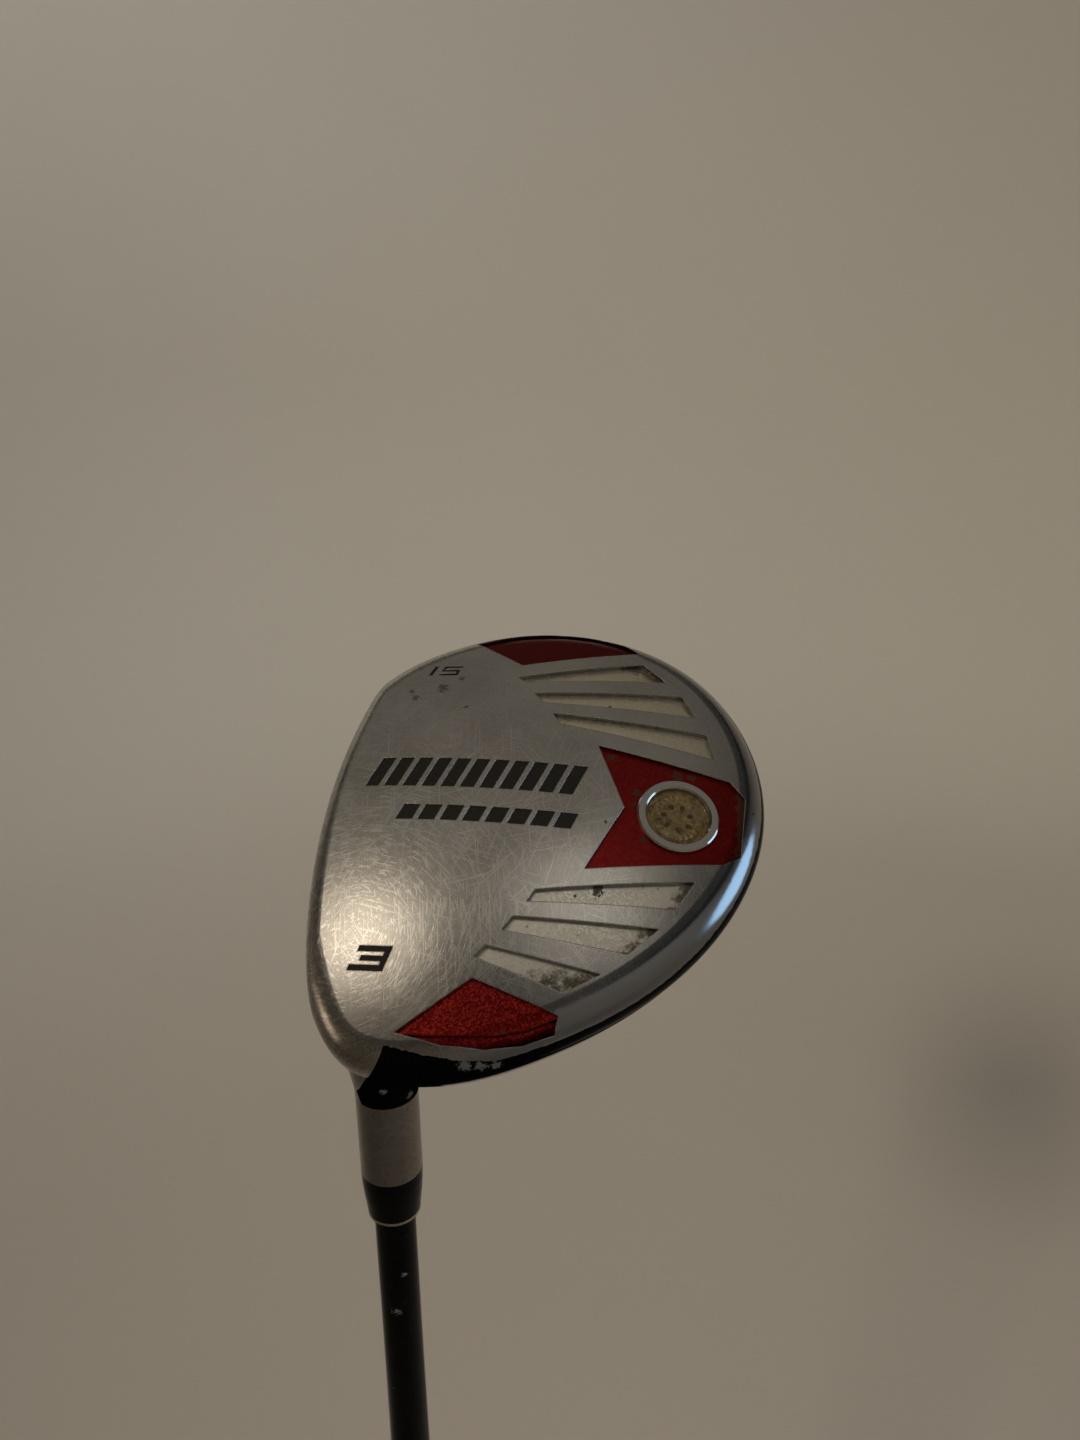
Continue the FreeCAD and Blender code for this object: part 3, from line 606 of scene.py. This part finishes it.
def badge_relief():
    """A closed disc with the badge's relief on top, in place of the plain CAD badge."""
    spokes = 120
    outer = 6.6
    underside = -2.35
    rings = [0.35 * step for step in range(1, 19)] + [outer]
    points = [Vector((0, 0, badge_height(0, 0)))]
    for radius in rings:
        for spoke in range(spokes):
            angle = math.tau * spoke / spokes
            points.append(Vector((radius * math.cos(angle), radius * math.sin(angle),
                                  badge_height(radius, angle))))
    faces = [(0, 1 + spoke, 1 + (spoke + 1) % spokes) for spoke in range(spokes)]
    for ring in range(len(rings) - 1):
        low = 1 + ring * spokes
        for spoke in range(spokes):
            after = (spoke + 1) % spokes
            faces.append((low + spoke, low + spokes + spoke, low + spokes + after, low + after))
    rim = 1 + (len(rings) - 1) * spokes
    points += [Vector((points[rim + spoke].x, points[rim + spoke].y, underside)) for spoke in range(spokes)]
    base = rim + spokes
    for spoke in range(spokes):
        after = (spoke + 1) % spokes
        faces.append((rim + spoke, base + spoke, base + after, rim + after))
    faces.append(tuple(range(base + spokes - 1, base - 1, -1)))
    mesh = bpy.data.meshes.new("badge_relief")
    mesh.from_pydata([PORT_FRAME @ (point * MM) for point in points], [], faces)
    mesh.update()
    piece = bpy.data.objects.new("badge_relief", mesh)
    scene.collection.objects.link(piece)
    mesh.materials.append(nodes["port_badge"].data.materials[0])
    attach(piece, "root")
    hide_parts("port_badge")


badge_relief()


# ------------------------------------------------------------ stage
def backdrop_piece():
    """A round sweep: flat floor that curves up into a wall all the way round."""
    flat = 2.3
    bend = 1.1
    top = 3.2
    steps = 12
    profile = [(0.02, 0.0), (flat * 0.5, 0.0), (flat, 0.0)]
    for step in range(1, steps + 1):
        angle = math.pi / 2 * step / steps
        profile.append((flat + bend * math.sin(angle), bend * (1 - math.cos(angle))))
    profile.append((flat + bend, top))
    around = 72
    points = [(r * math.cos(math.tau * k / around), r * math.sin(math.tau * k / around), z)
              for r, z in profile for k in range(around)]
    faces = [tuple(range(around))]
    for ring in range(len(profile) - 1):
        low = ring * around
        for k in range(around):
            after = (k + 1) % around
            faces.append((low + k, low + around + k, low + around + after, low + after))
    mesh = bpy.data.meshes.new("backdrop")
    mesh.from_pydata(points, [], faces)
    for polygon in mesh.polygons:
        polygon.use_smooth = True
    piece = bpy.data.objects.new("backdrop", mesh)
    group = bpy.data.collections.new("backdrop_only")
    scene.collection.children.link(group)
    group.objects.link(piece)
    mesh.materials.append(backdrop_paper())
    return group


def backdrop_paper():
    """Pale paper with painted shade: a little darker on the floor near the club than on the wall."""
    n = Nodes("backdrop_paper")
    mottle = n.math("MULTIPLY", n.noise(n.coordinates, 1.2, 3.0), 0.15)
    x, y = n.split(n.coordinates)[0:2]
    # Painted shade: the paper's colour lightens from the floor near the club out to the wall.
    wall = n.ramp(n.length(x, y), 0.7, 3.2, 0.0, 0.85)
    n.set(base_color=n.mix(n.math("ADD", mottle, wall), (0.47, 0.42, 0.365), (0.74, 0.69, 0.61)),
          roughness=0.95, specular_ior_level=0.1)
    return n.material


def light(name, place, target, width, power, color, only=None, spread=180.0):
    """A round soft lamp; with a collection given, it lights only what is in it."""
    data = bpy.data.lights.new(name, "AREA")
    data.shape = "DISK"
    data.size = width
    data.energy = power
    data.color = color
    data.spread = math.radians(spread)
    lamp = bpy.data.objects.new(name, data)
    lamp.location = place
    lamp.rotation_euler = (Vector(target) - Vector(place)).to_track_quat("-Z", "Y").to_euler()
    scene.collection.objects.link(lamp)
    if only is not None:
        lamp.light_linking.receiver_collection = only


backdrop = backdrop_piece()
HEAD_AT = club_point(44, 0, -10)
KEY_AT = HEAD_AT + Vector((-0.479, -0.412, 0.772)) * 1.2
FILL_AT = HEAD_AT + Vector((0.13, -0.34, 0.93)) * 1.2
COOL_AT = HEAD_AT + Vector((0.96, 0.10, 0.04)) * 1.15
light("key", KEY_AT, HEAD_AT, 0.33, 0.80, (1.0, 0.88, 0.72))
light("high_fill", FILL_AT, HEAD_AT, 0.44, 0.34, (1.0, 0.94, 0.86))
light("ceiling", (-0.3, 0.3, 2.9), (0, 0, 0.8), 2.6, 2.5, (1.0, 0.90, 0.75))
light("cool_side", COOL_AT, HEAD_AT, 0.66, 2.2, (0.42, 0.70, 1.0))
light("warm_side", (-1.5, -0.5, 0.9), HEAD_AT, 0.5, 0.8, (1.0, 0.8, 0.6))
light("wash", (-1.6, 1.2, 3.1), (-0.9, 3.4, 1.0), 2.6, 17.5, (1.0, 1.0, 0.96), backdrop, 150)
light("wash_front", (1.0, -1.0, 3.1), (2.6, -2.6, 1.1), 2.6, 9, (0.94, 0.97, 1.0), backdrop, 150)
light("shadow_maker", (-0.327, -0.78, 1.75), (0.8, 2.3, 0.2), 0.18, 9.0, (1.0, 0.90, 0.76), backdrop, 110)
world = bpy.data.worlds.new("world")
world.use_nodes = True
sky = world.node_tree.nodes["Background"]
sky.inputs["Color"].default_value = (0.9, 0.95, 1.0, 1)
sky.inputs["Strength"].default_value = 0.02
scene.world = world

camera_data = bpy.data.cameras.new("camera")
camera_data.sensor_fit = "VERTICAL"
camera_data.sensor_height = 36.0
camera_data.lens = 27.05
camera_data.clip_start = 0.01
camera = bpy.data.objects.new("camera", camera_data)
camera.location = (0.0563, -0.1699, 1.2036)
camera.rotation_euler = (math.radians(70.0), math.radians(0.4), math.radians(8.26))
scene.collection.objects.link(camera)
scene.camera = camera
scene.view_settings.view_transform = "Standard"
